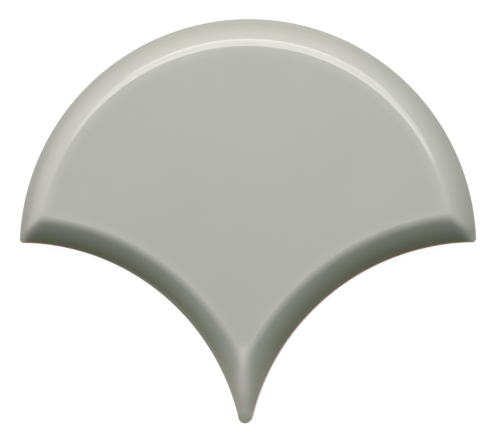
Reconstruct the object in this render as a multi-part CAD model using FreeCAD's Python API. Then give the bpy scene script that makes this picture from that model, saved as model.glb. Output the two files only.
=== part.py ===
"""Fish scale wall tile: one pressed, glazed and fired piece of clay.

The outline is a round dome above two hollow flanks that run down into a narrow stem. The domes of the
two tiles in the row below sit in the flanks. The face is a flat field with a bevelled edge all the way
round, so the bevels meet in a mitre at each horn and in a ridge along the stem. The back has shallow
key grooves for the adhesive.

Frame: +Z out of the glazed face, +Y towards the top of the dome, the back on z = 0, and the origin under
the middle of the tile's bounding box. Lengths are in millimetres and angles in degrees.
"""

import FreeCAD
import Part

import math
import os
from dataclasses import dataclass

# Outline. The horns are the two side corners, a little above the dome's centre.
DOME_RADIUS = 75.0
TILE_HEIGHT = 132.3
FLANK_RADIUS = 75.0
HORN_RISE = 1.6
HORN_ROUND = 1.3
STEM_TIP_ROUND = 2.25

# Section of the bevelled edge, from the wall up: a rounded lip, a gently domed bevel that is steepest at
# its foot, and a soft crest that ends at a faint break with the flat field.
TILE_THICKNESS = 11.0
BEVEL_WIDTH = 9.2
BEVEL_FOOT_ANGLE = 47.0
BEVEL_CROWN_ANGLE = 34.0
LIP_ROUND = 1.0
CREST_ROUND = 5.4
CREST_BREAK_ANGLE = 3.0

# Back. The grooves keep a plain rim, and where the stem is too narrow for a useful length there is none.
BACK_CHAMFER = 0.6
GROOVE_PITCH = 12.0
GROOVE_WIDTH = 6.0
GROOVE_DEPTH = 0.8
GROOVE_SIDE_SLOPE = 35.0
GROOVE_RIM = 8.0
GROOVE_SHORTEST = 9.0

# How far a cutting shape runs past the surface that it cuts
OVERRUN = 2.0

# Levels along the tile, from its own middle
DOME_CENTRE_Y = TILE_HEIGHT / 2 - DOME_RADIUS
STEM_TIP_Y = -TILE_HEIGHT / 2

UP = FreeCAD.Vector(0, 0, 1)
DOME_CENTRE = FreeCAD.Vector(0, DOME_CENTRE_Y, 0)
STEM_TIP_CENTRE = FreeCAD.Vector(0, STEM_TIP_Y + STEM_TIP_ROUND, 0)


@dataclass(frozen=True)
class RimArc:
    """One round stretch of the outline, run through with the tile on its left."""

    centre: FreeCAD.Vector
    radius: float
    start: FreeCAD.Vector
    end: FreeCAD.Vector
    hollow: bool = False

    def sweep(self):
        """The angle turned from start to end: counter-clockwise, or clockwise on a hollow stretch."""
        turn = self.bearing(self.end) - self.bearing(self.start)
        return -(-turn % 360.0) if self.hollow else turn % 360.0

    def bearing(self, point):
        """The direction from the centre to a point."""
        return math.degrees(math.atan2(point.y - self.centre.y, point.x - self.centre.x))

    def edge(self):
        """The stretch as an edge on z = 0."""
        middle = turned(self.centre, self.start, self.sweep() / 2)
        return Part.Arc(self.start, middle, self.end).toShape()


def turned(centre, point, angle):
    """A point turned about a vertical axis through centre."""
    return centre + FreeCAD.Rotation(UP, angle).multVec(point - centre)


def towards(centre, point, distance):
    """The point at a distance from centre, in the direction of another point."""
    way = FreeCAD.Vector(point - centre)
    way.normalize()
    return centre + way * distance


def mirrored(point):
    """The same point on the other side of the tile's axis."""
    return FreeCAD.Vector(-point.x, point.y, point.z)


def meeting_point(centre_a, radius_a, centre_b, radius_b):
    """Where two circles meet, to the left of the line from centre_a to centre_b."""
    line = centre_b - centre_a
    along = (radius_a**2 - radius_b**2 + line.Length**2) / (2 * line.Length)
    aside = math.sqrt(radius_a**2 - along**2)
    line.normalize()
    return centre_a + line * along + UP.cross(line) * aside


def flank_centre():
    """Centre of the right flank, which runs from the horn's corner into the round of the stem's tip."""
    horn_x = math.sqrt(DOME_RADIUS**2 - HORN_RISE**2)
    horn_corner = FreeCAD.Vector(horn_x, DOME_CENTRE_Y + HORN_RISE, 0)
    return meeting_point(horn_corner, FLANK_RADIUS, STEM_TIP_CENTRE, FLANK_RADIUS + STEM_TIP_ROUND)


def outline_arcs():
    """The outline's six stretches, counter-clockwise from the right horn."""
    right_flank = flank_centre()
    left_flank = mirrored(right_flank)
    dome_inner = DOME_RADIUS - HORN_ROUND
    flank_outer = FLANK_RADIUS + HORN_ROUND
    right_horn = meeting_point(DOME_CENTRE, dome_inner, right_flank, flank_outer)
    left_horn = mirrored(right_horn)
    dome_start = towards(DOME_CENTRE, right_horn, DOME_RADIUS)
    dome_end = mirrored(dome_start)
    right_flank_end = towards(right_flank, right_horn, FLANK_RADIUS)
    left_flank_start = mirrored(right_flank_end)
    right_flank_start = towards(right_flank, STEM_TIP_CENTRE, FLANK_RADIUS)
    left_flank_end = mirrored(right_flank_start)
    return [
        RimArc(DOME_CENTRE, DOME_RADIUS, dome_start, dome_end),
        RimArc(left_horn, HORN_ROUND, dome_end, left_flank_start),
        RimArc(left_flank, FLANK_RADIUS, left_flank_start, left_flank_end, hollow=True),
        RimArc(STEM_TIP_CENTRE, STEM_TIP_ROUND, left_flank_end, right_flank_start),
        RimArc(right_flank, FLANK_RADIUS, right_flank_start, right_flank_end, hollow=True),
        RimArc(right_horn, HORN_ROUND, right_flank_end, dome_start),
    ]


def arc_on_slope(start, radius, angle_from, angle_to):
    """A round stretch of the section, rising inwards while its slope eases.

    Points of the section have the depth in from the outline as x and the height as z.
    """

    def at(angle):
        inwards = math.sin(math.radians(angle_from)) - math.sin(math.radians(angle))
        upwards = math.cos(math.radians(angle)) - math.cos(math.radians(angle_from))
        return start + FreeCAD.Vector(inwards, 0, upwards) * radius

    return Part.Arc(start, at((angle_from + angle_to) / 2), at(angle_to)), at(angle_to)


def edge_section():
    """The face above the bevelled edge, which is what the edge cuts away from a plain slab."""
    foot = math.radians(BEVEL_FOOT_ANGLE)
    crown = math.radians(BEVEL_CROWN_ANGLE)
    crest_end = math.radians(CREST_BREAK_ANGLE)
    lip_width = LIP_ROUND * (1 - math.sin(foot))
    crest_width = CREST_ROUND * (math.sin(crown) - math.sin(crest_end))
    bevel_round = (BEVEL_WIDTH - lip_width - crest_width) / (math.sin(foot) - math.sin(crown))
    lip_rise = LIP_ROUND * math.cos(foot)
    bevel_rise = bevel_round * (math.cos(crown) - math.cos(foot))
    crest_rise = CREST_ROUND * (math.cos(crest_end) - math.cos(crown))
    wall_top = TILE_THICKNESS - lip_rise - bevel_rise - crest_rise

    rim = FreeCAD.Vector(0, 0, wall_top)
    lip, lip_end = arc_on_slope(rim, LIP_ROUND, 90.0, BEVEL_FOOT_ANGLE)
    bevel, bevel_end = arc_on_slope(lip_end, bevel_round, BEVEL_FOOT_ANGLE, BEVEL_CROWN_ANGLE)
    crest, field_edge = arc_on_slope(bevel_end, CREST_ROUND, BEVEL_CROWN_ANGLE, CREST_BREAK_ANGLE)
    past_crest = field_edge + FreeCAD.Vector(math.cos(crest_end), 0, math.sin(crest_end)) * OVERRUN

    ceiling = TILE_THICKNESS + OVERRUN
    corners = [
        past_crest,
        FreeCAD.Vector(past_crest.x, 0, ceiling),
        FreeCAD.Vector(-OVERRUN, 0, ceiling),
        FreeCAD.Vector(-OVERRUN, 0, wall_top),
        rim,
    ]
    straights = [Part.LineSegment(a, b) for a, b in zip([field_edge] + corners, corners)]
    return Part.Face(Part.Wire([curve.toShape() for curve in [lip, bevel, crest] + straights]))


def edge_cutter(arc, section):
    """What the bevelled edge cuts away along one stretch of the outline.

    On a stretch that bulges outwards the section stops at the stretch's own axis, because past it the
    edge of another stretch is nearer.
    """
    profile = section.copy() if arc.hollow else section.common(section_up_to(arc.radius)).Faces[0]
    inward = arc.bearing(arc.start) if arc.hollow else arc.bearing(arc.start) + 180.0
    profile.rotate(FreeCAD.Vector(), UP, inward)
    profile.translate(arc.start)
    return profile.revolve(arc.centre, UP, arc.sweep())


def section_up_to(depth):
    """A flat area in the plane of the section, from outside the outline in to a depth."""
    area = Part.makePlane(depth + OVERRUN, TILE_THICKNESS + 2 * OVERRUN)
    area.rotate(FreeCAD.Vector(), FreeCAD.Vector(1, 0, 0), 90.0)
    area.translate(FreeCAD.Vector(-OVERRUN, 0, -OVERRUN / 2))
    return area


def slab(arcs):
    """The plain tile, with its back edge chamfered."""
    face = Part.Face(Part.Wire([arc.edge() for arc in arcs]))
    block = face.extrude(UP * TILE_THICKNESS)
    back_edges = [edge for edge in block.Edges if edge.BoundBox.ZMax < BACK_CHAMFER / 2]
    return block.makeChamfer(BACK_CHAMFER, back_edges)


def groove_area():
    """The part of the back that the grooves cover, a plain rim inside the outline."""
    right_flank = flank_centre()
    left_flank = mirrored(right_flank)
    dome_radius = DOME_RADIUS - GROOVE_RIM
    flank_radius = FLANK_RADIUS + GROOVE_RIM
    right_horn = meeting_point(DOME_CENTRE, dome_radius, right_flank, flank_radius)
    left_horn = mirrored(right_horn)
    stem_tip = meeting_point(left_flank, flank_radius, right_flank, flank_radius)
    arcs = [
        RimArc(DOME_CENTRE, dome_radius, right_horn, left_horn),
        RimArc(left_flank, flank_radius, left_horn, stem_tip, hollow=True),
        RimArc(right_flank, flank_radius, stem_tip, right_horn, hollow=True),
    ]
    return Part.Face(Part.Wire([arc.edge() for arc in arcs]))


def groove(level):
    """One key groove across the back, centred on a level along the tile."""
    mouth = GROOVE_WIDTH / 2 + OVERRUN * math.tan(math.radians(GROOVE_SIDE_SLOPE))
    floor = GROOVE_WIDTH / 2 - GROOVE_DEPTH * math.tan(math.radians(GROOVE_SIDE_SLOPE))
    corners = [
        FreeCAD.Vector(-DOME_RADIUS, level - mouth, -OVERRUN),
        FreeCAD.Vector(-DOME_RADIUS, level + mouth, -OVERRUN),
        FreeCAD.Vector(-DOME_RADIUS, level + floor, GROOVE_DEPTH),
        FreeCAD.Vector(-DOME_RADIUS, level - floor, GROOVE_DEPTH),
    ]
    face = Part.Face(Part.makePolygon(corners + corners[:1]))
    return face.extrude(FreeCAD.Vector(2 * DOME_RADIUS, 0, 0))


def back_grooves():
    """The key grooves, evenly spaced about the middle of the tile and cut off at the plain rim."""
    area = groove_area()
    footprint = area.extrude(UP * (GROOVE_DEPTH + OVERRUN))
    footprint.translate(UP * -OVERRUN)
    steps = math.ceil(TILE_HEIGHT / 2 / GROOVE_PITCH)
    grooves = []
    for step in range(-steps, steps):
        level = (step + 0.5) * GROOVE_PITCH
        if groove_length(area, level) > GROOVE_SHORTEST:
            grooves.append(groove(level).common(footprint))
    return grooves


def groove_length(area, level):
    """The shorter side of a groove at a level, and 0 where the groove doesn't fit whole."""
    lengths = []
    for side in (level - GROOVE_WIDTH / 2, level + GROOVE_WIDTH / 2):
        left_end = FreeCAD.Vector(-DOME_RADIUS, side, 0)
        right_end = FreeCAD.Vector(DOME_RADIUS, side, 0)
        lengths.append(Part.makeLine(left_end, right_end).common(area).Length)
    return min(lengths)


def fish_scale_tile():
    """The finished tile."""
    arcs = outline_arcs()
    section = edge_section()
    cutters = [edge_cutter(arc, section) for arc in arcs]
    tile = slab(arcs).cut(cutters)
    tile = tile.cut(back_grooves())
    return tile.removeSplitter().Solids[0]


os.makedirs("parts", exist_ok=True)
fish_scale_tile().exportStep("parts/fish_scale_tile.step")
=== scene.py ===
"""Looks of the fish scale tile: a gloss grey glaze over a pressed clay body, on a plain white floor.

Sizes are in millimetres unless a name says otherwise, and become metres when a mesh is made.
"""

import logging
import math
from dataclasses import dataclass, field
from enum import Enum

import bpy
import numpy as np
from mathutils import Matrix, Vector
from mathutils.geometry import delaunay_2d_cdt


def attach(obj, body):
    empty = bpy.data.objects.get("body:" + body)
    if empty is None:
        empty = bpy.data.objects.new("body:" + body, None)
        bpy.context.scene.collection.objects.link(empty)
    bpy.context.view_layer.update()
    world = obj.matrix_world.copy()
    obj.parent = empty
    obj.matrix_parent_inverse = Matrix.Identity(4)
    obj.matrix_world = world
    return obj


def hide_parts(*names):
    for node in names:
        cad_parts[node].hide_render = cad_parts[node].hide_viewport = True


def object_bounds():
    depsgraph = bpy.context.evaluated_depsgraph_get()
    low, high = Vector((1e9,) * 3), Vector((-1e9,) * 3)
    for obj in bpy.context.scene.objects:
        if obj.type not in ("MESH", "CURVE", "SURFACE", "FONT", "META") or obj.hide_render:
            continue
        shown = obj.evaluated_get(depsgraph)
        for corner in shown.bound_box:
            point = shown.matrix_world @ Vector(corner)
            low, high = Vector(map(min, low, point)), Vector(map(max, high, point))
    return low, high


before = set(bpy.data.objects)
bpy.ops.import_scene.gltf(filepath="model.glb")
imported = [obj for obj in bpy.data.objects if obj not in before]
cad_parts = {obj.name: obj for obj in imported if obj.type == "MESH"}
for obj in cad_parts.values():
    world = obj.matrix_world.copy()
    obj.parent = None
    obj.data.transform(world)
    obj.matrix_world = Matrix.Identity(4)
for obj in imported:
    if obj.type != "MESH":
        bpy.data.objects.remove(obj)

LOG = logging.getLogger("fish_scale_tile")
MM = 0.001
NODE = "fish_scale_tile"
CAD_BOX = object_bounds()
CAD_SIZE = (CAD_BOX[1] - CAD_BOX[0]) / MM

Amount = float | np.ndarray
Colour = tuple[float, float, float]
Socket = bpy.types.NodeSocket
Value = Socket | float

# Values that the mesh carries for the glaze's colour, among them the flanks' painted-shade side and the
# lighter ridges, partly thinner glaze and partly painted light
DEPTH_LABEL = "edge_depth"
RISE_LABEL = "glaze_rise"
SHADE_SIDE_LABEL = "shade_side_share"
THIN_AND_LIT_LABEL = "thin_and_lit_glaze"
RISE_OFF_THE_WALL = 9.0

# How the meshing tells points and faces apart
SAME_PLACE_DIGITS = 5
SAME_POINT = 1e-6
INSIDE_ONLY = 1

# Sockets of a mix node, for colours and for values
COLOUR_MIX_INPUTS = (6, 7)
COLOUR_MIX_OUTPUT = 2
VALUE_MIX_INPUTS = (2, 3)

# Noise, which lies within about a quarter of its middle, and specks
NOISE_MIDDLE = 0.5
NOISE_TO_ONE = 4.0
CLOUD_DETAIL = 3.0
RELIEF_DETAIL = 2.0
SPECK_CORE = 0.4

# Colours that more than one value takes
FIELD_GREY = (0.437, 0.458, 0.406)
# Darker toward the dome's rim: partly thicker glaze, partly painted shade
DOME_FOOT_GREY = (0.278, 0.292, 0.248)
SOFTBOX_TINT = (1.047, 1.0, 1.028)
COOL_WALL_TINT = (0.97, 1.0, 1.0)
WARM_WALL_TINT = (1.06, 1.0, 1.01)


class Skin(Enum):
    """The tile's two surfaces, numbered as its material slots."""

    GLAZE = 0
    CLAY = 1


class LampShape(Enum):
    """Outlines of a lamp's bright face."""

    BOX = "RECTANGLE"
    OVAL = "ELLIPSE"

    def area(self, width: float, height: float) -> float:
        """Area of a face with this outline."""
        return width * height * (math.pi / 4 if self is LampShape.OVAL else 1.0)


def unit(vectors: np.ndarray) -> np.ndarray:
    """Vectors scaled to a length of one."""
    return vectors / np.linalg.norm(vectors, axis=-1, keepdims=True)


def between(first: Amount, second: Amount, share: Amount) -> Amount:
    """The value that lies a share of the way from the first to the second."""
    return first + (second - first) * share


def held(share: Amount) -> Amount:
    """A share kept between 0 and 1."""
    return np.clip(share, 0.0, 1.0)


def eased(share: Amount) -> Amount:
    """A share kept between 0 and 1 that sets off and settles gently."""
    return held(share) ** 2 * (3.0 - 2.0 * held(share))


def bell(distance: Amount, reach: Amount) -> Amount:
    """A soft bell: 1 at no distance, and nearly nothing past twice its reach."""
    return np.exp(-((distance / reach) ** 2))


def heading(angle: float) -> np.ndarray:
    """The direction at an angle from the x axis."""
    return np.array([math.cos(angle), math.sin(angle)])


def bearing(centre: np.ndarray, point: np.ndarray) -> float:
    """The angle from the x axis at which a point lies from a centre."""
    return math.atan2(*(point - centre)[::-1])


def meeting_point(centre_a: np.ndarray, radius_a: float, centre_b: np.ndarray, radius_b: float) -> np.ndarray:
    """Finds where two circles meet.

    Args:
        centre_a: centre of the first circle.
        radius_a: its radius.
        centre_b: centre of the second circle.
        radius_b: its radius.

    Returns:
        The meeting point to the left of the line from centre_a to centre_b.
    """
    line = centre_b - centre_a
    length = np.hypot(*line)
    along = (radius_a**2 - radius_b**2 + length**2) / (2 * length)
    aside = math.sqrt(radius_a**2 - along**2)
    way = line / length
    return centre_a + way * along + np.array([-way[1], way[0]]) * aside


def put_in_scene(name: str, data: bpy.types.ID) -> bpy.types.Object:
    """Makes an object and links it to the scene.

    Args:
        name: the object's name.
        data: its mesh, light or camera.

    Returns:
        The object.
    """
    made = bpy.data.objects.new(name, data)
    bpy.context.scene.collection.objects.link(made)
    return made


@dataclass(frozen=True)
class EdgeProfile:
    """Section of the edge, from the wall up to the field: lip, bevel, crest and shoulder, all arcs."""

    thickness: float = CAD_SIZE.z
    wall_angle: float = 90.0
    foot_angle: float = 43.5
    crown_angle: float = 33.5
    crest_end_angle: float = 12.0
    lip_round: float = 1.0
    bevel_round: float = 45.1
    crest_round: float = 6.2
    shoulder_round: float = 2.5
    lip_steps: int = 8
    bevel_steps: int = 16
    crest_steps: int = 20
    shoulder_steps: int = 8

    def curve(self) -> tuple[np.ndarray, np.ndarray]:
        """Works out the section as points.

        Returns:
            The depths in from the outline, and the heights above the back, from the rim to the field.
        """
        arcs = (
            (self.wall_angle, self.foot_angle, self.lip_round, self.lip_steps),
            (self.foot_angle, self.crown_angle, self.bevel_round, self.bevel_steps),
            (self.crown_angle, self.crest_end_angle, self.crest_round, self.crest_steps),
            (self.crest_end_angle, 0.0, self.shoulder_round, self.shoulder_steps),
        )
        depths = [np.zeros(1)]
        heights = [np.zeros(1)]
        for start, stop, radius, steps in arcs:
            slope = np.radians(np.linspace(start, stop, steps + 1))
            depths.append(depths[-1][-1] + radius * (np.sin(slope[0]) - np.sin(slope[1:])))
            heights.append(heights[-1][-1] + radius * (np.cos(slope[1:]) - np.cos(slope[0])))
        rise = np.concatenate(heights)
        return np.concatenate(depths), rise + self.thickness - rise[-1]

    def height(self, depth: np.ndarray, rim_depth: np.ndarray) -> np.ndarray:
        """Finds the height of the surface.

        Args:
            depth: how far in the slope counts, less than none where the slope goes on below the rim.
            rim_depth: how far in from the rim the lip counts.

        Returns:
            The height above the back.
        """
        slope = math.tan(math.radians(self.foot_angle))
        depths, heights = (values[self.lip_steps :] for values in self.curve())
        bevel = np.interp(depth, depths, heights) - np.maximum(depths[0] - depth, 0.0) * slope
        lip_depths, lip_heights = (values[: self.lip_steps + 1] for values in self.curve())
        drop = lip_heights[-1] - (lip_depths[-1] - lip_depths) * slope - lip_heights
        return bevel - np.interp(rim_depth, lip_depths, drop)

    @property
    def width(self) -> float:
        """Width of the whole edge."""
        return float(self.curve()[0][-1])

    @property
    def wall_top(self) -> float:
        """Usual height of the rim, where the wall ends and the lip begins."""
        return float(self.curve()[1][0])


@dataclass(frozen=True)
class Station:
    """A place on the outline, from which the edge reaches inwards."""

    foot: np.ndarray
    inward: np.ndarray
    end: np.ndarray
    on_field: bool

    def mirrored(self) -> "Station":
        """The same station on the other side of the tile's axis."""
        flip = np.array([-1.0, 1.0])
        return Station(self.foot * flip, self.inward * flip, self.end * flip, self.on_field)


@dataclass(frozen=True)
class Outline:
    """The tile seen from its face: a dome, two hollow flanks and a stem."""

    dome_radius: float = 75.0
    height: float = CAD_SIZE.y
    flank_radius: float = 75.0
    horn_rise: float = 1.6
    horn_round: float = 1.3
    tip_round: float = 2.25
    dome_step: float = 0.8
    flank_step: float = 0.8
    ridge_steps: int = 26
    round_steps: int = 12

    @property
    def dome_centre(self) -> np.ndarray:
        """Centre of the dome."""
        return np.array([0.0, self.height / 2 - self.dome_radius])

    @property
    def tip_centre(self) -> np.ndarray:
        """Centre of the round at the stem's tip."""
        return np.array([0.0, -self.height / 2 + self.tip_round])

    @property
    def flank_centre(self) -> np.ndarray:
        """Centre of the right flank, which goes from the horn's corner into the round of the tip."""
        shade_side = math.sqrt(self.dome_radius**2 - self.horn_rise**2)
        corner = self.dome_centre + np.array([shade_side, self.horn_rise])
        return meeting_point(corner, self.flank_radius, self.tip_centre, self.flank_radius + self.tip_round)

    def horn_ridge(self, depth: float) -> np.ndarray:
        """The point of the right horn's mitre at a depth from both sides."""
        in_dome = self.dome_radius - depth
        return meeting_point(self.dome_centre, in_dome, self.flank_centre, self.flank_radius + depth)

    def stem_ridge(self, depth: float) -> np.ndarray:
        """The point of the stem's ridge at a depth from both flanks."""
        across, level = self.flank_centre
        return np.array([0.0, level + math.sqrt((self.flank_radius + depth) ** 2 - across**2)])

    def above_tip(self, points: np.ndarray) -> np.ndarray:
        """How far up from the stem's tip points lie, one point a row."""
        return points[:, 1] + self.height / 2

    def depths(self, points: np.ndarray) -> np.ndarray:
        """Measures how deep points lie inside each side.

        Args:
            points: one point a row.

        Returns:
            Depths inside the dome, the left flank, the right flank and the stem's blunt tip, one point a row.
        """
        right = self.flank_centre
        left = right * np.array([-1.0, 1.0])
        return np.stack(
            [
                self.dome_radius - np.linalg.norm(points - self.dome_centre, axis=1),
                np.linalg.norm(points - left, axis=1) - self.flank_radius,
                np.linalg.norm(points - right, axis=1) - self.flank_radius,
                self.above_tip(points),
            ],
            axis=1,
        )

    def stations(self, width: float) -> list[Station]:
        """Lays out stations all the way round.

        Args:
            width: how far in the edge reaches where no other side is nearer.

        Returns:
            The stations, counter-clockwise from the right horn.
        """
        dome = self._dome_stations(width)
        flank = self._left_flank_stations(width)
        horn = self._round_stations(self.horn_ridge(self.horn_round) * [-1, 1], dome[-1].foot, flank[0].foot)
        right_flank = [station.mirrored() for station in reversed(flank)]
        tip = self._round_stations(self.tip_centre, flank[-1].foot, right_flank[0].foot)
        right_horn = [station.mirrored() for station in reversed(horn)]
        return dome + horn + flank + tip + right_flank + right_horn

    def _dome_stations(self, width: float) -> list[Station]:
        """Lays out the dome's stations.

        Args:
            width: how far in the edge reaches.

        Returns:
            The stations from the right horn over the top to the left horn.
        """
        ridge = [self.horn_ridge(depth) for depth in np.linspace(self.horn_round, width, self.ridge_steps)]
        rising = [self._dome_station(point, False) for point in ridge[:-1]]
        start = bearing(self.dome_centre, ridge[-1])
        count = math.ceil((math.pi - 2 * start) * self.dome_radius / self.dome_step)
        field_edge = []
        for angle in np.linspace(start, math.pi - start, count + 1):
            end = self.dome_centre + heading(angle) * (self.dome_radius - width)
            field_edge.append(self._dome_station(end, True))
        return rising + field_edge + [station.mirrored() for station in reversed(rising)]

    def _left_flank_stations(self, width: float) -> list[Station]:
        """Lays out the left flank's stations.

        Args:
            width: how far in the edge reaches.

        Returns:
            The stations from the horn down to the stem's tip.
        """
        centre = self.flank_centre * [-1, 1]
        horn_depths = np.linspace(self.horn_round, width, self.ridge_steps)
        stem_depths = np.linspace(width, self.tip_round, self.ridge_steps)
        horn = [self.horn_ridge(depth) * [-1, 1] for depth in horn_depths]
        stem = [self.stem_ridge(depth) for depth in stem_depths]
        start = bearing(centre, horn[-1])
        stop = bearing(centre, stem[0])
        count = math.ceil((start - stop) * self.flank_radius / self.flank_step)
        field_edge = []
        for angle in np.linspace(start, stop, count + 1):
            end = centre + heading(angle) * (self.flank_radius + width)
            field_edge.append(self._flank_station(end, centre, True))
        before = [self._flank_station(point, centre, False) for point in horn[:-1]]
        after = [self._flank_station(point, centre, False) for point in stem[1:]]
        return before + field_edge + after

    def _round_stations(self, centre: np.ndarray, first: np.ndarray, last: np.ndarray) -> list[Station]:
        """Lays out the stations of a small round between two sides.

        Args:
            centre: the round's centre.
            first: where the round begins.
            last: where it ends.

        Returns:
            The stations counter-clockwise, without the two ends.
        """
        radius = np.hypot(*(first - centre))
        start = bearing(centre, first)
        turn = (bearing(centre, last) - start) % (2 * math.pi)
        stations = []
        for step in range(1, self.round_steps):
            way = heading(start + turn * step / self.round_steps)
            stations.append(Station(centre + way * radius, -way, centre, False))
        return stations

    def _dome_station(self, end: np.ndarray, on_field: bool) -> Station:
        """The station of the dome whose edge reaches in to a point."""
        way = unit(end - self.dome_centre)
        return Station(self.dome_centre + way * self.dome_radius, -way, end, on_field)

    def _flank_station(self, end: np.ndarray, centre: np.ndarray, on_field: bool) -> Station:
        """The station of the flank about a centre whose edge reaches in to a point."""
        way = unit(end - centre)
        return Station(centre + way * self.flank_radius, way, end, on_field)


@dataclass
class MeshDraft:
    """Points and faces of a mesh in the making."""

    points: list[np.ndarray] = field(default_factory=list)
    depths: list[np.ndarray] = field(default_factory=list)
    rises: list[np.ndarray] = field(default_factory=list)
    shade_sides: list[np.ndarray] = field(default_factory=list)
    thin_and_lit_shares: list[np.ndarray] = field(default_factory=list)
    faces: list[tuple[int, ...]] = field(default_factory=list)
    skins: list[int] = field(default_factory=list)
    count: int = 0

    def add(
        self,
        plan: np.ndarray,
        height: Amount,
        depth: Amount = 0.0,
        rise: Amount = RISE_OFF_THE_WALL,
        shade_side: Amount = 0.0,
        thin_and_lit: Amount = 0.0,
    ) -> np.ndarray:
        """Adds points.

        Args:
            plan: their places seen from the face, one point a row.
            height: their heights above the back.
            depth: how far in from the outline they count for the glaze's colour.
            rise: how far up from the glaze's lower edge they lie, along the wall and over the lip.
            shade_side: share of the flanks' darker, more olive painted-shade colours there, from 0 to 1.
            thin_and_lit: how much of the pale colour the glaze gets there, from 0 to 1: partly thinner glaze,
                partly painted light on the lit ridges.

        Returns:
            The new points' numbers.
        """
        size = len(plan)
        numbers = np.arange(self.count, self.count + size)
        self.points.append(np.column_stack([plan, np.broadcast_to(height, size)]))
        self.depths.append(np.broadcast_to(depth, size))
        self.rises.append(np.broadcast_to(rise, size))
        self.shade_sides.append(np.broadcast_to(shade_side, size))
        self.thin_and_lit_shares.append(np.broadcast_to(thin_and_lit, size))
        self.count += size
        return numbers

    def places(self, numbers: np.ndarray) -> np.ndarray:
        """Places of points in millimetres, one point a row."""
        return np.concatenate(self.points)[numbers]

    def face(self, numbers: tuple[int, ...], skin: Skin) -> None:
        """Adds a face, without the corners that fall together.

        Args:
            numbers: the corners' numbers, in order.
            skin: the surface that the face belongs to.
        """
        corners = [int(number) for place, number in enumerate(numbers) if number != numbers[place - 1]]
        if len(corners) > 2:
            self.faces.append(tuple(corners))
            self.skins.append(skin.value)

    def bridge(self, outer: np.ndarray, inner: np.ndarray, skin: Skin) -> None:
        """Joins two closed loops of as many points with a strip of faces.

        Args:
            outer: numbers of the loop on the right as it goes round.
            inner: numbers of the loop on the left.
            skin: the surface that the strip belongs to.
        """
        for this in range(len(outer)):
            after = (this + 1) % len(outer)
            self.face((outer[this], outer[after], inner[after], inner[this]), skin)

    def mesh(self, name: str) -> bpy.types.Mesh:
        """Makes the mesh, in metres.

        Args:
            name: the mesh's name.

        Returns:
            The mesh, with the glaze's values on its points.
        """
        made = bpy.data.meshes.new(name)
        made.from_pydata((np.concatenate(self.points) * MM).tolist(), [], self.faces)
        made.polygons.foreach_set("material_index", self.skins)
        for label, values in (
            (DEPTH_LABEL, self.depths),
            (RISE_LABEL, self.rises),
            (SHADE_SIDE_LABEL, self.shade_sides),
            (THIN_AND_LIT_LABEL, self.thin_and_lit_shares),
        ):
            made.attributes.new(label, "FLOAT", "POINT").data.foreach_set("value", np.concatenate(values))
        made.update()
        return made


@dataclass(frozen=True)
class Ripple:
    """Slow waves of a surface that was never quite flat."""

    amplitude: float = 0.012
    shortest: float = 22.0
    longest: float = 55.0
    waves: int = 9
    seed: int = 4

    def at(self, points: np.ndarray) -> np.ndarray:
        """Adds up the waves.

        Args:
            points: places seen from the face, one point a row.

        Returns:
            The waves' height at each point.
        """
        draw = np.random.default_rng(self.seed)
        total = np.zeros(len(points))
        for _ in range(self.waves):
            way = heading(draw.uniform(0, 2 * math.pi))
            length = draw.uniform(self.shortest, self.longest)
            shift = draw.uniform(0, 2 * math.pi)
            total += np.sin(2 * math.pi * (points @ way) / length + shift)
        return total * self.amplitude / math.sqrt(self.waves)


@dataclass(frozen=True)
class EdgeDrift:
    """How the press left the edge a little wider in some places than in others."""

    dome_mean: float = 1.004
    dome_swing: float = 0.070
    dome_swings_a_turn: int = 2
    dome_widest_deg: float = 98.0
    left_flank: float = 0.975
    right_flank: float = 0.965
    right_swing: float = 0.065

    def factors(self, outline: Outline, points: np.ndarray) -> np.ndarray:
        """Works out the edge's width against its usual width.

        Args:
            outline: the tile's outline.
            points: places seen from the face, one point a row.

        Returns:
            The factors, points a row and the outline's sides a column.
        """
        way = points - outline.dome_centre
        turn = np.arctan2(way[:, 1], way[:, 0]) - math.radians(self.dome_widest_deg)
        dome = self.dome_mean + self.dome_swing * np.cos(self.dome_swings_a_turn * turn)
        even = np.ones(len(points))
        right = self.right_flank + self.right_swing * held(points[:, 0] / outline.dome_radius)
        return np.stack([dome, even * self.left_flank, right, even], axis=1)


@dataclass(frozen=True)
class WipedSpot:
    """A place on the wall where more of the glaze was wiped off before the firing."""

    place: tuple[float, float]
    reach: float
    rise: float

    def at(self, points: np.ndarray) -> np.ndarray:
        """How much higher the glaze's lower edge lies at points, one point a row."""
        return self.rise * bell(np.linalg.norm(points - self.place, axis=1), self.reach)


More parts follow.
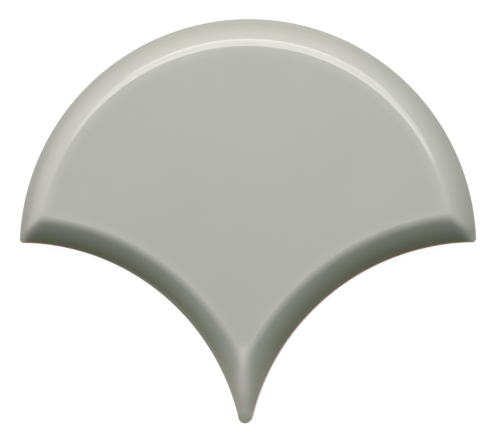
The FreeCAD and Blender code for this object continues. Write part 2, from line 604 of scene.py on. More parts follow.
@dataclass(frozen=True)
class GlazeLine:
    """The glaze's lower edge on the wall: a small bead that strays up and down over the bare clay."""

    height: float = 2.5
    least_glaze: float = 0.6
    step: float = 0.12
    upper_row_share: float = 0.35
    bead_top: float = 0.55
    bead_middle: float = 0.22
    bead_foot: float = 0.06
    bead_swell: float = 0.03
    clay_row_drop: float = 0.25
    back_chamfer: float = 0.6
    wiped: tuple[WipedSpot, ...] = (
        WipedSpot((50.0, -14.0), 34.0, 1.3),
        WipedSpot((-68.0, -9.0), 11.0, 0.9),
    )
    stray_height: float = 0.28
    stray_turns: tuple[int, ...] = (3, 5, 8, 13, 21, 34, 55)
    stray_fall: float = 0.55
    stray_seed: int = 11

    def wiped_off(self, points: np.ndarray) -> np.ndarray:
        """How much higher the wiping left the edge at points, one point a row."""
        return sum(spot.at(points) for spot in self.wiped)

    def edge(self, feet: np.ndarray, top: np.ndarray) -> np.ndarray:
        """Works out where the glaze ends.

        Args:
            feet: places around the outline, in order, one a row.
            top: heights of the rim there.

        Returns:
            Heights of the glaze's lower edge above the back.
        """
        along = np.concatenate([[0.0], np.cumsum(np.linalg.norm(np.diff(feet, axis=0), axis=1))])
        edge = self.height + self.wiped_off(feet) + self._stray(along)
        return np.minimum(edge, top - self.least_glaze)

    def rows(self, edge: np.ndarray, top: np.ndarray) -> list[tuple[np.ndarray, float, Skin]]:
        """Lists the wall's rows of points, from under the rim down to the back.

        Args:
            edge: heights of the glaze's lower edge around the tile.
            top: heights of the rim there.

        Returns:
            Each row's heights, its inset from the outline and the skin of the strip above it.
        """
        return [
            (between(top, edge, self.upper_row_share), 0.0, Skin.GLAZE),
            (edge + self.bead_top, 0.0, Skin.GLAZE),
            (edge + self.bead_middle, -self.bead_swell, Skin.GLAZE),
            (edge + self.bead_foot, 0.0, Skin.GLAZE),
            (edge, self.step, Skin.GLAZE),
            (edge - self.clay_row_drop, self.step, Skin.CLAY),
            (np.full(len(edge), self.back_chamfer), self.step, Skin.CLAY),
            (np.zeros(len(edge)), self.back_chamfer + self.step, Skin.CLAY),
        ]

    def _stray(self, along: np.ndarray) -> np.ndarray:
        """Works out how far the edge strays.

        Args:
            along: distances around the outline.

        Returns:
            The stray at each distance, which closes on itself after one turn.
        """
        around = 2 * math.pi * along / (along[-1] + (along[-1] - along[-2]))
        draw = np.random.default_rng(self.stray_seed)
        stray = np.zeros(len(along))
        for turns in self.stray_turns:
            stray += np.sin(turns * around + draw.uniform(0, 2 * math.pi)) / turns**self.stray_fall
        return self.stray_height * stray


@dataclass(frozen=True)
class BackGrooves:
    """Shallow key grooves across the back."""

    pitch: float = 12.0
    width: float = 6.0
    depth: float = 0.8
    side: float = 0.56
    rim: float = 8.0
    shortest: float = 9.0
    end_points: int = 6

    def half_length(self, outline: Outline, level: np.ndarray) -> np.ndarray:
        """Measures the room for a groove.

        Args:
            outline: the tile's outline.
            level: levels along the tile.

        Returns:
            Half the length that the plain rim leaves at each level.
        """
        dome = (outline.dome_radius - self.rim) ** 2 - (level - outline.dome_centre[1]) ** 2
        across, centre = outline.flank_centre
        flank = (outline.flank_radius + self.rim) ** 2 - (level - centre) ** 2
        in_dome = np.sqrt(np.maximum(dome, 0.0))
        return np.minimum(in_dome, across - np.sqrt(np.maximum(flank, 0.0)))

    def levels(self, outline: Outline) -> list[float]:
        """Spaces the grooves evenly about the tile's middle.

        Args:
            outline: the tile's outline.

        Returns:
            Levels of the grooves that fit whole.
        """
        steps = math.ceil(outline.height / 2 / self.pitch)
        found = []
        for step in range(-steps, steps):
            level = (step + 0.5) * self.pitch
            sides = np.array([level - self.width / 2, level + self.width / 2])
            if 2 * self.half_length(outline, sides).min() > self.shortest:
                found.append(level)
        return found

    def loop(self, outline: Outline, level: float, inset: float) -> np.ndarray:
        """Draws a groove.

        Args:
            outline: the tile's outline.
            level: the groove's level along the tile.
            inset: how far the groove's outline is drawn in.

        Returns:
            The groove's outline, counter-clockwise seen from the face, one point a row.
        """
        half = self.width / 2 - inset
        rows = np.linspace(level - half, level + half, self.end_points)
        ends = self.half_length(outline, rows) - inset
        right = np.stack([ends, rows], axis=1)
        left = np.stack([-ends, rows], axis=1)[::-1]
        return np.concatenate([right, left])


@dataclass
class NodeBench:
    """Places and joins the nodes of one tree."""

    tree: bpy.types.NodeTree

    def feed(self, node: bpy.types.Node, key: str | int, value: object) -> None:
        """Gives a node's socket another node's output or a plain value.

        Args:
            node: the node.
            key: the socket's name or number.
            value: the output or the value.
        """
        if isinstance(value, Socket):
            self.tree.links.new(value, node.inputs[key])
        else:
            node.inputs[key].default_value = value

    def add(self, kind: str, inputs: dict | None = None, **settings: object) -> bpy.types.Node:
        """Places a node.

        Args:
            kind: the node's type.
            inputs: for its sockets, by name or number, another node's output or a plain value.
            settings: values of its own.

        Returns:
            The node.
        """
        node = self.tree.nodes.new(kind)
        for name, value in settings.items():
            setattr(node, name, value)
        for key, value in (inputs or {}).items():
            self.feed(node, key, value)
        return node

    def work_out(self, operation: str, first: Value, second: Value) -> Socket:
        """Places a sum, product or the like of two values and returns its result."""
        return self.add("ShaderNodeMath", {0: first, 1: second}, operation=operation).outputs[0]

    def spread(self, value: Socket, ends: tuple[Value, Value], new_ends: tuple[float, float]) -> Socket:
        """Spreads the range between two ends over another range, held at its ends."""
        limits = {"From Min": ends[0], "From Max": ends[1], "To Min": new_ends[0], "To Max": new_ends[1]}
        return self.add("ShaderNodeMapRange", {"Value": value, **limits}).outputs["Result"]

    def ramp(self, factor: Socket, stops: tuple[tuple[float, Colour], ...]) -> Socket:
        """Places a colour ramp.

        Args:
            factor: the value that picks the colour.
            stops: places along the ramp, rising, with their colours.

        Returns:
            The colour.
        """
        node = self.add("ShaderNodeValToRGB", {"Fac": factor})
        elements = node.color_ramp.elements
        while len(elements) < len(stops):
            elements.new(0.5)
        for element, (place, colour) in zip(elements, stops):
            element.position = place
            element.color = (*colour, 1.0)
        return node.outputs["Color"]

    def mix(self, share: Socket, first: Socket | Colour, second: Socket | Colour) -> Socket:
        """Mixes two colours.

        Args:
            share: the second colour's share.
            first: the first colour.
            second: the second colour.

        Returns:
            The mixed colour.
        """
        node = self.add("ShaderNodeMix", {0: share}, data_type="RGBA")
        for place, colour in zip(COLOUR_MIX_INPUTS, (first, second)):
            self.feed(node, place, colour if isinstance(colour, Socket) else (*colour, 1.0))
        return node.outputs[COLOUR_MIX_OUTPUT]

    def place_on_object(self) -> Socket:
        """The place on the object, in metres."""
        return self.add("ShaderNodeTexCoord").outputs["Object"]

    def noise(self, size: Socket, detail: float) -> Socket:
        """Places soft noise on the object.

        Args:
            size: the noise's size in metres.
            detail: how many finer layers it has.

        Returns:
            The noise, from 0 to 1.
        """
        scale = self.work_out("DIVIDE", 1.0, size)
        values = {"Vector": self.place_on_object(), "Scale": scale, "Detail": detail}
        return self.add("ShaderNodeTexNoise", values).outputs["Fac"]


def blank_material(name: str) -> tuple[bpy.types.Material, NodeBench]:
    """Makes a material with an empty tree.

    Args:
        name: the material's name.

    Returns:
        The material and a bench for its tree.
    """
    made = bpy.data.materials.new(name)
    made.use_nodes = True
    made.node_tree.nodes.clear()
    return made, NodeBench(made.node_tree)


class Effect(Enum):
    """Effects that both finishes of the tile use."""

    CLOUDING = "clouding"
    SPECKS = "specks"
    SKIN_RELIEF = "skin_relief"

    def tree(self) -> bpy.types.NodeTree:
        """Finds the effect's node group, or builds it at its first use.

        Returns:
            The group.
        """
        found = bpy.data.node_groups.get(self.value)
        if found:
            return found
        made = bpy.data.node_groups.new(self.value, "ShaderNodeTree")
        builders = {
            Effect.CLOUDING: build_clouding,
            Effect.SPECKS: build_specks,
            Effect.SKIN_RELIEF: build_skin_relief,
        }
        builders[self](made)
        return made

    def place(self, bench: NodeBench, **values: float) -> Socket:
        """Places the effect in a material.

        Args:
            bench: the material's bench.
            values: the effect's inputs, by their names in small letters.

        Returns:
            The effect's output.
        """
        node = bench.add("ShaderNodeGroup", node_tree=self.tree())
        for name, value in values.items():
            node.inputs[name.capitalize()].default_value = value
        return node.outputs[0]


def group_bench(
    tree: bpy.types.NodeTree, inputs: tuple[str, ...], output: str
) -> tuple[NodeBench, list[Socket]]:
    """Gives a group its sockets.

    Args:
        tree: the group.
        inputs: names of its inputs.
        output: name of its one output.

    Returns:
        A bench for the group, and its inputs in order.
    """
    for name in inputs:
        tree.interface.new_socket(name, in_out="INPUT", socket_type="NodeSocketFloat")
    tree.interface.new_socket(output, in_out="OUTPUT", socket_type="NodeSocketFloat")
    bench = NodeBench(tree)
    given = bench.add("NodeGroupInput").outputs
    return bench, [given[name] for name in inputs]


def build_clouding(tree: bpy.types.NodeTree) -> None:
    """Builds soft clouds, of a size in metres, that lie between minus and plus their amount.

    Args:
        tree: the empty group.
    """
    bench, (size, amount) = group_bench(tree, ("Size", "Amount"), "Shade")
    middle = bench.work_out("SUBTRACT", bench.noise(size, CLOUD_DETAIL), NOISE_MIDDLE)
    whole = bench.work_out("MULTIPLY", middle, NOISE_TO_ONE)
    bench.add("NodeGroupOutput", {0: bench.work_out("MULTIPLY", whole, amount)})


def build_specks(tree: bpy.types.NodeTree) -> None:
    """Builds a mask of scattered specks: about one to a cell of the pitch, in metres, for a coverage of one.

    Args:
        tree: the empty group.
    """
    bench, (pitch, coverage, radius) = group_bench(tree, ("Pitch", "Coverage", "Radius"), "Mask")
    scale = bench.work_out("DIVIDE", 1.0, pitch)
    cells = bench.add("ShaderNodeTexVoronoi", {"Vector": bench.place_on_object(), "Scale": scale})
    draw = bench.add("ShaderNodeSeparateColor", {0: cells.outputs["Color"]}).outputs
    chosen = bench.work_out("LESS_THAN", draw[0], coverage)
    reach = bench.work_out("MULTIPLY", draw[1], radius)
    core = bench.work_out("MULTIPLY", reach, SPECK_CORE)
    near = bench.spread(cells.outputs["Distance"], (reach, core), (0.0, 1.0))
    bench.add("NodeGroupOutput", {0: bench.work_out("MULTIPLY", near, chosen)})


def build_skin_relief(tree: bpy.types.NodeTree) -> None:
    """Builds the heights of a fired skin: slow waves and a share of finer grain, with their sizes in metres.

    Args:
        tree: the empty group.
    """
    bench, (wave, grain, share) = group_bench(tree, ("Wave", "Grain", "Share"), "Height")
    heights = [bench.noise(size, RELIEF_DETAIL) for size in (wave, grain)]
    mixed = bench.add("ShaderNodeMix", {0: share, **dict(zip(VALUE_MIX_INPUTS, heights))}).outputs[0]
    bench.add("NodeGroupOutput", {0: mixed})


@dataclass(frozen=True)
class Clouding:
    """Soft clouds in a finish."""

    size_m: float
    amount: float

    def shade(self, bench: NodeBench) -> Socket:
        """Places the clouds and returns their shade, between minus and plus their amount."""
        return Effect.CLOUDING.place(bench, size=self.size_m, amount=self.amount)


@dataclass(frozen=True)
class Specks:
    """Scattered specks in a finish."""

    pitch_m: float
    coverage: float
    radius_share: float
    strength: float

    def mask(self, bench: NodeBench) -> Socket:
        """Places the specks and returns their mask, which goes up to their strength."""
        values = {"pitch": self.pitch_m, "coverage": self.coverage, "radius": self.radius_share}
        return bench.work_out("MULTIPLY", Effect.SPECKS.place(bench, **values), self.strength)


@dataclass(frozen=True)
class SkinRelief:
    """Fine relief of a finish."""

    wave_m: float
    grain_m: float
    grain_share: float
    strength: float
    height_m: float

    def normal(self, bench: NodeBench) -> Socket:
        """Places the relief in a material.

        Args:
            bench: the material's bench.

        Returns:
            The surface's normal.
        """
        height = Effect.SKIN_RELIEF.place(bench, wave=self.wave_m, grain=self.grain_m, share=self.grain_share)
        values = {"Height": height, "Strength": self.strength, "Distance": self.height_m}
        return bench.add("ShaderNodeBump", values).outputs["Normal"]


@dataclass(frozen=True)
class DepthShade:
    """The glaze's colour across one kind of edge, from the stem tip's darkest bottom to the field: darker
    toward the rim, partly thicker glaze and partly painted shade, and lighter over the crest, partly thinner
    glaze and partly a painted highlight.
    """

    tip_dark: Colour
    foot: Colour
    middle: Colour
    crown: Colour
    crest: Colour
    tip_dark_depth: float = -2.0
    foot_depths: tuple[float, float] = (0.0, 1.6)
    middle_depth: float = 4.0
    crown_depth: float = 6.6
    crest_depths: tuple[float, float] = (8.3, 9.0)
    field_depth: float = 12.0
    reach: float = 13.0

    def colour(self, bench: NodeBench, depth: Socket) -> Socket:
        """Places the colours in a material.

        Args:
            bench: the material's bench.
            depth: the depth in from the outline.

        Returns:
            The colour at that depth.
        """
        stops = (
            (self.tip_dark_depth, self.tip_dark),
            (self.foot_depths[0], self.foot),
            (self.foot_depths[1], self.foot),
            (self.middle_depth, self.middle),
            (self.crown_depth, self.crown),
            (self.crest_depths[0], self.crest),
            (self.crest_depths[1], self.crest),
            (self.field_depth, FIELD_GREY),
        )
        share = bench.spread(depth, (self.tip_dark_depth, self.reach), (0.0, 1.0))
        width = self.reach - self.tip_dark_depth
        shares = tuple(((there - self.tip_dark_depth) / width, colour) for there, colour in stops)
        return bench.ramp(share, shares)


@dataclass(frozen=True)
class GreyGlaze:
    """Gloss grey glaze: darker and more olive toward the rim, partly thicker glaze and partly painted shade,
    lighter over the crest, partly thinner glaze and partly a painted highlight, with painted shade on the
    flanks' side.
    """

    # Colours by depth: darker toward the rim, partly thicker glaze and partly painted shade; the crest
    # lighter than the field, partly thinner glaze and partly a painted highlight
    dome: DepthShade = DepthShade(
        tip_dark=DOME_FOOT_GREY,
        foot=DOME_FOOT_GREY,
        middle=(0.333, 0.346, 0.304),
        crown=(0.393, 0.408, 0.361),
        crest=(0.480, 0.504, 0.451),
    )
    # Painted shade: the flanks face away from the softbox, so their colours are darker, more olive copies of
    # the dome's
    flanks: DepthShade = DepthShade(
        # Nearly black at the bottom of the stem's tip
        tip_dark=(0.045, 0.042, 0.026),
        foot=(0.226, 0.248, 0.170),
        middle=(0.280, 0.314, 0.245),
        crown=(0.352, 0.391, 0.328),
        crest=(0.462, 0.483, 0.432),
    )
    # Pale colour along the stem's ridge and the mitres: partly thinner glaze, partly painted light where the
    # ridges catch the softbox
    thin_and_lit_colour: Colour = (0.605, 0.615, 0.565)
    edge_colour: Colour = (0.38, 0.21, 0.088)
    edge_rises: tuple[float, float] = (1.6, 4.6)
    edge_share: float = 0.85
    dome_edge_share: float = 0.15
    roughness: float = 0.07
    roughness_swing: float = 0.6
    ior: float = 1.52
    colour_clouds: Clouding = Clouding(size_m=0.022, amount=0.018)
    gloss_clouds: Clouding = Clouding(size_m=0.012, amount=0.25)
    specks: Specks = Specks(pitch_m=0.0042, coverage=0.35, radius_share=0.06, strength=0.12)
    relief: SkinRelief = SkinRelief(
        wave_m=0.009, grain_m=0.0012, grain_share=0.10, strength=0.05, height_m=0.001
    )

    def material(self) -> bpy.types.Material:
        """Makes the glaze's material.

        Returns:
            The material.
        """
        made, bench = blank_material("grey_glaze")
        shader = bench.add(
            "ShaderNodeBsdfPrincipled",
            {
                "Base Color": self._colour(bench),
                "Roughness": self._roughness(bench),
                "IOR": self.ior,
                "Normal": self.relief.normal(bench),
            },
        )
        bench.add("ShaderNodeOutputMaterial", {"Surface": shader.outputs[0]})
        return made

    def _colour(self, bench: NodeBench) -> Socket:
        """Places the glaze's colour over the tile.

        Args:
            bench: the material's bench.

        Returns:
            The colour: browned along the glaze's lower edge, mostly below the flanks.
        """
        depth, shade_side, thin_and_lit, rise = (
            bench.add("ShaderNodeAttribute", attribute_name=label).outputs["Fac"]
            for label in (DEPTH_LABEL, SHADE_SIDE_LABEL, THIN_AND_LIT_LABEL, RISE_LABEL)
        )
        # Painted shade: the flanks' side takes the darker, more olive colours
        depth_and_shade_colour = bench.mix(shade_side, self.dome.colour(bench, depth), self.flanks.colour(bench, depth))
        # Lighter along the ridges: partly thinner glaze, partly painted light
        body = bench.mix(thin_and_lit, depth_and_shade_colour, self.thin_and_lit_colour)
        brightness = bench.work_out("ADD", self.colour_clouds.shade(bench), 1.0)
        clouded = bench.add("ShaderNodeHueSaturation", {"Color": body, "Value": brightness}).outputs["Color"]
        speckled = bench.mix(self.specks.mask(bench), clouded, self.edge_colour)
        near_edge = bench.spread(rise, self.edge_rises, (self.edge_share, 0.0))
        by_side = bench.spread(shade_side, (0.0, 1.0), (self.dome_edge_share, 1.0))
        return bench.mix(bench.work_out("MULTIPLY", near_edge, by_side), speckled, self.edge_colour)

    def _roughness(self, bench: NodeBench) -> Socket:
        """Places the glaze's roughness, a little uneven, and returns it."""
        ends = ((1.0 - self.roughness_swing) * self.roughness, (1.0 + self.roughness_swing) * self.roughness)
        return bench.spread(self.gloss_clouds.shade(bench), (-1.0, 1.0), ends)


@dataclass(frozen=True)
class BareClay:
    """Bare fired clay of the lower wall and the back."""

    colour: Colour = (0.585, 0.38, 0.225)
    pale_colour: Colour = (0.64, 0.475, 0.335)
    speck_colour: Colour = (0.26, 0.15, 0.09)
    roughness: float = 0.85
    specular: float = 0.05
    clouds: Clouding = Clouding(size_m=0.018, amount=0.5)
    specks: Specks = Specks(pitch_m=0.0022, coverage=0.4, radius_share=0.14, strength=0.45)
    relief: SkinRelief = SkinRelief(
        wave_m=0.0025, grain_m=0.00035, grain_share=0.5, strength=0.35, height_m=0.0004
    )

    def material(self) -> bpy.types.Material:
        """Makes the clay's material.

        Returns:
            The material.
        """
        made, bench = blank_material("bare_clay")
        pale_share = bench.spread(self.clouds.shade(bench), (-1.0, 1.0), (0.0, 1.0))
        body = bench.mix(pale_share, self.colour, self.pale_colour)
        shader = bench.add(
            "ShaderNodeBsdfPrincipled",
            {
                "Base Color": bench.mix(self.specks.mask(bench), body, self.speck_colour),
                "Roughness": self.roughness,
                "Specular IOR Level": self.specular,
                "Normal": self.relief.normal(bench),
            },
        )
        bench.add("ShaderNodeOutputMaterial", {"Surface": shader.outputs[0]})
        return made


@dataclass
class GlazedTile:
    """The tile as one closed mesh: glazed face and upper wall, bare clay below and behind."""

    outline: Outline = Outline()
    profile: EdgeProfile = EdgeProfile()
    drift: EdgeDrift = EdgeDrift()
    face_ripple: Ripple = Ripple()
    glaze_line: GlazeLine = GlazeLine()
    grooves: BackGrooves = BackGrooves()
    glaze: GreyGlaze = GreyGlaze()
    clay: BareClay = BareClay()
    rim_softness: float = 4.2
    crest_softness: float = 0.8
    horn_fade: float = 4.0
    stem_fade: float = 2.0
    horn_reach: float = 18.0
    # Lighter colour along the mitres and the stem's ridge: partly thinner glaze, partly painted light
    horn_thin_and_lit_width: float = 2.6
    stem_thin_and_lit_width: float = 4.5
    thin_and_lit_depth: float = 7.6
    mitre_thin_and_lit_share: float = 0.6
    stem_width: float = 23.0
    stem_thin_and_lit: float = 0.40
    ridge_width: float = 3.2
    ridge_start_fade: float = 6.0
    ridge_end_width: float = 2.0
    ridge_end_fade: float = 8.0
    tip_fade_height: float = 4.6
    # How high and how far the colour is pushed dark at the bottom of the stem's tip
    tip_dark_height: float = 2.6
    tip_dark_drop: float = 4.5
    # How softly the flanks' painted shade fades into the dome's colours
    shade_side_fade: float = 6.0
    rim_spread: float = 5.2
    edge_room: float = 1.07
    field_centre_rise: float = 20.0
    field_steps: int = 36
    field_crowding: float = 1.5
    sharp_angle_deg: float = 32.0

    def build(self) -> bpy.types.Object:
        """Builds the tile and puts it in the scene.

        Returns:
            The tile's object, without its finishes.
        """
        draft = MeshDraft()
        stations = self.outline.stations(self.profile.width * self.edge_room)
        rim = self._edge(draft, stations)
        back = self._wall(draft, stations, rim)
        self._back(draft, back)
        mesh = draft.mesh("glazed_tile")
        mesh.shade_smooth()
        mesh.set_sharp_from_angle(angle=math.radians(self.sharp_angle_deg))
        return put_in_scene("glazed_tile", mesh)

    def dress(self, tile: bpy.types.Object) -> None:
        """Gives the tile its finishes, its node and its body.

        Args:
            tile: the tile's object.
        """
        for finish in (self.glaze, self.clay):
            tile.data.materials.append(finish.material())
        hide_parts(NODE)
        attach(tile, "root")

    def surface(self, points: np.ndarray) -> tuple[np.ndarray, np.ndarray]:
        """Works out the glazed face.

        Args:
            points: places seen from the face, one point a row.

        Returns:
            The heights above the back, with soft mitres and a soft ridge along the stem, and the depths that
            the glaze's colour goes by: nearer the crest's over a mitre or ridge, partly thinner glaze and
            partly painted light, and below none at the bottom of the stem's tip, where the colour turns dark.
        """
        plain = self.outline.depths(points)
        rim_depth = np.maximum(plain.min(axis=1), 0.0)
        sides = np.sort(plain / self.drift.factors(self.outline, points), axis=1)
        inside = held(sides[:, :2].mean(axis=1) / self.profile.width)
        at_stem = held(plain[:, 0] / self.horn_reach)
        fade = (1.0 - inside) ** between(self.horn_fade, self.stem_fade, at_stem)
        softness = between(self.crest_softness, self.rim_softness, fade)
        shares = np.exp(-sides / softness[:, None])
        pairs = (shares.sum(axis=1) ** 2 - (shares**2).sum(axis=1)) / 2
        depth = softness * np.log((1.0 + pairs) / shares.sum(axis=1))
        height = self.profile.height(depth, rim_depth) + self.face_ripple.at(points) * inside
        # Painted light and thinner glaze: along the mitres the colour's depth is lifted toward the crest's
        thin_and_lit_width = between(self.horn_thin_and_lit_width, self.stem_thin_and_lit_width, at_stem)
        thin_and_lit = self.mitre_thin_and_lit_share * bell(sides[:, 1] - sides[:, 0], thin_and_lit_width)
        shade_depth = between(depth, np.maximum(self.thin_and_lit_depth, depth), thin_and_lit)
        # The colour turns dark at the bottom of the stem's tip
        return height, shade_depth - self.tip_dark_drop * bell(self.outline.above_tip(points), self.tip_dark_height)

    def shade_side_share(self, points: np.ndarray) -> np.ndarray:
        """Share of the flanks' painted-shade colours at points: none on the dome's side, which faces the
        softbox, all on the flanks' side, which faces away from it.
        """
        dome, left, right, _ = self.outline.depths(points).T
        return held(0.5 + (dome - np.minimum(left, right)) / self.shade_side_fade)

    def thin_and_lit_share(self, points: np.ndarray) -> np.ndarray:
        """Works out how thin the glaze is.

        Args:
            points: places seen from the face, one point a row.

        Returns:
            The share from 0 to 1: it grows down the stem, is greatest along the ridge and fades out toward
                the bottom of the stem's tip.
        """
        _, left, right, tip = self.outline.depths(points).T
        width = np.maximum(left + right, 0.0)
        sides = self.stem_thin_and_lit * held(1.0 - width / self.stem_width)
        ridge_start = held((self.stem_width - width) / self.ridge_start_fade)
        ridge_end = held((width - self.ridge_end_width) / self.ridge_end_fade)
        ridge = bell(left - right, self.ridge_width) * ridge_start * ridge_end
        return between(sides, 1.0, ridge) * eased(tip / self.tip_fade_height)

    def _edge(self, draft: MeshDraft, stations: list[Station]) -> np.ndarray:
        """Adds the bevelled edge and the field.

        Args:
            draft: the tile's mesh in the making.
            stations: the stations all the way round.

        Returns:
            Numbers of the rim's points.
        """
        shares = self.profile.curve()[0] / self.profile.width
        feet = np.array([station.foot for station in stations])
        ends = np.array([station.end for station in stations])
        loops = [self._face_points(draft, between(feet, ends, share)) for share in shares[:-1]]
        inner = self._shared_ends(draft, ends)
        for outer_loop, inner_loop in zip(loops, loops[1:] + [inner]):
            draft.bridge(outer_loop, inner_loop, Skin.GLAZE)
        self._field(draft, [number for number, station in zip(inner, stations) if station.on_field])
        return loops[0]

    def _face_points(self, draft: MeshDraft, points: np.ndarray) -> np.ndarray:
        """Adds points of the glazed face.

        Args:
            draft: the tile's mesh in the making.
            points: places seen from the face, one point a row.

        Returns:
            The points' numbers.
        """
        height, shade_depth = self.surface(points)
        rim_depth = np.maximum(self.outline.depths(points).min(axis=1), 0.0)
        glazed_wall = self.profile.wall_top - self.glaze_line.height - self.glaze_line.wiped_off(points)
        rise = glazed_wall + self.rim_spread * rim_depth
        shade_side = self.shade_side_share(points)
        return draft.add(points, height, shade_depth, rise, shade_side, self.thin_and_lit_share(points))

    def _shared_ends(self, draft: MeshDraft, ends: np.ndarray) -> np.ndarray:
        """Adds the edge's inner ends, one point for all stations that meet there.

        Args:
            draft: the tile's mesh in the making.
            ends: the stations' inner ends, one a row.

        Returns:
            Each station's point number.
        """
        keys = [tuple(end) for end in ends.round(SAME_PLACE_DIGITS)]
        first = {key: place for place, key in reversed(list(enumerate(keys)))}
        order = sorted(first.values())
        number_of = dict(zip(order, self._face_points(draft, ends[order])))
        return np.array([number_of[first[key]] for key in keys])

    def _field(self, draft: MeshDraft, edge: list[int]) -> None:
        """Fills the flat field with rings that draw in to one point.

        Args:
            draft: the tile's mesh in the making.
            edge: numbers of the points around the field, in order.
        """
        loop = np.array(list(dict.fromkeys(edge)))
        border = draft.places(loop)[:, :2]
        middle = self.outline.dome_centre + [0.0, self.field_centre_rise]
        for step in range(1, self.field_steps):
            share = (step / self.field_steps) ** self.field_crowding
            ring = self._face_points(draft, between(border, middle, share))
            draft.bridge(loop, ring, Skin.GLAZE)
            loop = ring
        top = self._face_points(draft, middle[None])
        draft.bridge(loop, np.full(len(loop), top[0]), Skin.GLAZE)

    def _wall(self, draft: MeshDraft, stations: list[Station], rim: np.ndarray) -> np.ndarray:
        """Adds the wall, glazed above and bare below.

        Args:
            draft: the tile's mesh in the making.
            stations: the stations all the way round.
            rim: numbers of the rim's points.

        Returns:
            Numbers of the points around the back.
        """
        feet = np.array([station.foot for station in stations])
        inward = np.array([station.inward for station in stations])
        top = draft.places(rim)[:, 2]
        edge = self.glaze_line.edge(feet, top)
        loop = rim
        for height, inset, skin in self.glaze_line.rows(edge, top):
            row = draft.add(feet + inward * inset, height, rise=height - edge, shade_side=self.shade_side_share(feet))
            draft.bridge(row, loop, skin)
            loop = row
        return loop

    def _back(self, draft: MeshDraft, border: np.ndarray) -> None:
        """Closes the back, with its grooves.

        Args:
            draft: the tile's mesh in the making.
            border: numbers of the points around the back.
        """
        plan = [draft.places(border)[:, :2]]
        numbers = [border]
        for level in self.grooves.levels(self.outline):
            for inset, height in ((0.0, 0.0), (self.grooves.side, self.grooves.depth)):
                loop = self.grooves.loop(self.outline, level, inset)
                plan.append(loop)
                numbers.append(draft.add(loop, height))
        ties = []
        for loop in plan:
            start = len(ties)
            ties += [(start + place, start + (place + 1) % len(loop)) for place in range(len(loop))]
        flat = [Vector(point) for point in np.concatenate(plan)]
        places, _, faces, sources, _, _ = delaunay_2d_cdt(flat, ties, [], INSIDE_ONLY, SAME_POINT)
        number_of = np.concatenate(numbers)
        for face in faces:
            first, second, third = (places[corner] for corner in face[:3])
            turn = (second - first).cross(third - first)
            corners = tuple(number_of[sources[corner][0]] for corner in face)
            draft.face(corners[::-1] if turn > 0 else corners, Skin.CLAY)


@dataclass(frozen=True)
class Lamp:
    """A soft lamp that looks at the tile."""

    name: str
    shape: LampShape
    azimuth_deg: float
    elevation_deg: float
    width_m: float
    height_m: float
    radiance: float
    distance_m: float = 0.7
    tint: Colour = SOFTBOX_TINT

    def hang(self) -> None:
        """Puts the lamp in the scene."""
        light = bpy.data.lights.new(self.name, "AREA")
        light.shape = self.shape.value
        light.size = self.width_m
        light.size_y = self.height_m
        light.energy = self.radiance * math.pi * self.shape.area(self.width_m, self.height_m)
        light.color = self.tint
        elevation = math.radians(self.elevation_deg)
        across, along = heading(math.radians(self.azimuth_deg)) * math.cos(elevation)
        way = Vector((across, along, math.sin(elevation)))
        lamp = put_in_scene(self.name, light)
        lamp.location = way * self.distance_m
        lamp.rotation_euler = way.to_track_quat("Z", "Y").to_euler()


@dataclass(frozen=True)
class WallGlow:
    """Soft light off the studio's walls, brightest in one direction."""

    way: tuple[float, float, float]
    narrowness: float
    strength: float
    tint: Colour

    def shader(self, bench: NodeBench) -> Socket:
        """Places the glow in the world's tree.

        Args:
            bench: the world's bench.

        Returns:
            The glow's shader.
        """
        place = bench.add("ShaderNodeTexCoord").outputs["Generated"]
        facing = bench.add("ShaderNodeVectorMath", {0: place, 1: self.way}, operation="DOT_PRODUCT")
        lit = bench.work_out("MAXIMUM", facing.outputs["Value"], 0.0)
        narrowed = bench.work_out("POWER", lit, self.narrowness)
        strength = bench.work_out("MULTIPLY", narrowed, self.strength)
        values = {"Color": (*self.tint, 1.0), "Strength": strength}
        return bench.add("ShaderNodeBackground", values).outputs[0]


@dataclass(frozen=True)
class PhotoCamera:
    """The camera at the photograph's viewing angle."""

    frame_width_px: int = 503
    distance: float = 900.0
    yaw_deg: float = 6.2
    tilt_deg: float = 3.2
    roll_deg: float = 0.213
    px_per_mm: float = 3.0469
    aim: tuple[float, float] = (1.335, -0.803)
    sensor_mm: float = 36.0

    def place(self) -> None:
        """Puts the camera in the scene."""
        yaw = math.radians(self.yaw_deg)
        tilt = math.radians(self.tilt_deg)
        back = Vector((math.sin(yaw) * math.cos(tilt), -math.sin(tilt), math.cos(yaw) * math.cos(tilt)))
        right = Vector((0, 1, 0)).cross(back).normalized()
        turn = Matrix((right, back.cross(right), back)).transposed().to_4x4()
        data = bpy.data.cameras.new("photo_camera")
        data.sensor_width = self.sensor_mm
        data.lens = self.sensor_mm * self.distance * self.px_per_mm / self.frame_width_px
        camera = put_in_scene("photo_camera", data)
        place = Matrix.Translation((Vector((*self.aim, 0.0)) + back * self.distance) * MM)
        camera.matrix_world = place @ turn @ Matrix.Rotation(math.radians(self.roll_deg), 4, "Z")
        bpy.context.scene.camera = camera


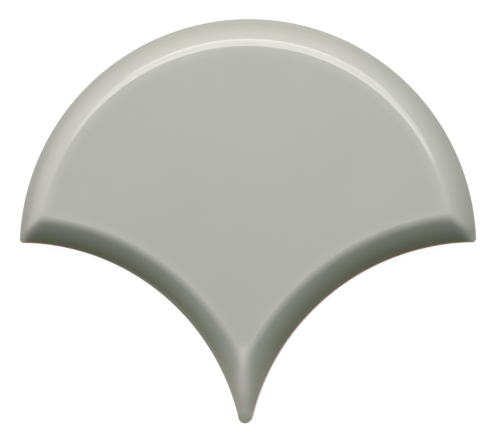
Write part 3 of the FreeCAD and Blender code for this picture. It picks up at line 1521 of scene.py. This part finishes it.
@dataclass
class Studio:
    """A white floor, an oval softbox with two brighter edges, and what it leaves on the walls."""

    lamps: tuple[Lamp, ...] = (
        Lamp("softbox", LampShape.OVAL, 91.0, 50.0, width_m=1.20, height_m=0.68, radiance=2.40),
        Lamp("softbox_low_edge", LampShape.BOX, 91.0, 29.5, width_m=0.95, height_m=0.12, radiance=2.2),
        Lamp("softbox_high_edge", LampShape.OVAL, 84.0, 66.0, width_m=0.80, height_m=0.20, radiance=1.75),
    )
    glows: tuple[WallGlow, ...] = (
        WallGlow((0.0, 1.0, 0.0), narrowness=4.0, strength=1.52, tint=SOFTBOX_TINT),
        WallGlow((1.0, 0.0, 0.0), narrowness=1.0, strength=0.26, tint=COOL_WALL_TINT),
        WallGlow((0.90, 0.43, 0.0), narrowness=4.0, strength=0.90, tint=COOL_WALL_TINT),
        WallGlow((-0.97, 0.26, 0.0), narrowness=4.0, strength=1.8, tint=WARM_WALL_TINT),
    )
    camera: PhotoCamera = PhotoCamera()
    floor_half_m: float = 20.0
    floor_drop_m: float = 0.0002
    floor_glow: float = 0.97
    floor_colour: Colour = (0.8, 0.8, 0.79)
    shadow_colour: Colour = (0.12, 0.12, 0.12)

    def build(self) -> None:
        """Sets up the floor, the light and the camera."""
        self._floor()
        self._world()
        for lamp in self.lamps:
            lamp.hang()
        self.camera.place()
        bpy.context.scene.view_settings.view_transform = "Standard"

    def _floor(self) -> None:
        """Lays the white floor, a hair below the tile."""
        half = self.floor_half_m
        mesh = bpy.data.meshes.new("floor")
        corners = [(-half, -half, 0), (half, -half, 0), (half, half, 0), (-half, half, 0)]
        mesh.from_pydata(corners, [], [(0, 1, 2, 3)])
        floor = put_in_scene("floor", mesh)
        floor.location.z = -self.floor_drop_m
        mesh.materials.append(self._floor_finish())

    def _floor_finish(self) -> bpy.types.Material:
        """Makes the floor's material.

        Returns:
            The material: white to look at, with the tile's shadow, plain to other light and clear from below.
        """
        made, bench = blank_material("white_floor")
        path = bench.add("ShaderNodeLightPath").outputs
        seen = bench.work_out("MAXIMUM", path["Is Camera Ray"], path["Is Glossy Ray"])
        looked = bench.work_out("MAXIMUM", seen, path["Is Transmission Ray"])
        plain = bench.add("ShaderNodeBsdfDiffuse", {"Color": (*self.floor_colour, 1.0)}).outputs[0]
        shadow = bench.add("ShaderNodeBsdfDiffuse", {"Color": (*self.shadow_colour, 1.0)}).outputs[0]
        glow = bench.add("ShaderNodeEmission", {"Strength": self.floor_glow}).outputs[0]
        white = bench.add("ShaderNodeAddShader", {0: glow, 1: shadow}).outputs[0]
        top = bench.add("ShaderNodeMixShader", {0: looked, 1: plain, 2: white}).outputs[0]
        clear = bench.add("ShaderNodeBsdfTransparent").outputs[0]
        below = bench.add("ShaderNodeNewGeometry").outputs["Backfacing"]
        both = bench.add("ShaderNodeMixShader", {0: below, 1: top, 2: clear}).outputs[0]
        bench.add("ShaderNodeOutputMaterial", {"Surface": both})
        return made

    def _world(self) -> None:
        """Sets the soft light off the walls."""
        world = bpy.data.worlds.new("studio")
        world.use_nodes = True
        world.node_tree.nodes.clear()
        bench = NodeBench(world.node_tree)
        total = self.glows[0].shader(bench)
        for glow in self.glows[1:]:
            total = bench.add("ShaderNodeAddShader", {0: total, 1: glow.shader(bench)}).outputs[0]
        bench.add("ShaderNodeOutputWorld", {"Surface": total})
        bpy.context.scene.world = world


def main() -> None:
    """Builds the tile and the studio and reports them."""
    logging.basicConfig(level=logging.INFO, format="%(message)s")
    maker = GlazedTile()
    tile = maker.build()
    maker.dress(tile)
    LOG.info("tile: %d points, %d faces", len(tile.data.vertices), len(tile.data.polygons))
    studio = Studio()
    studio.build()
    LOG.info("studio: floor, %d lamps, %d wall glows, camera", len(studio.lamps), len(studio.glows))


if __name__ == "__main__":
    main()
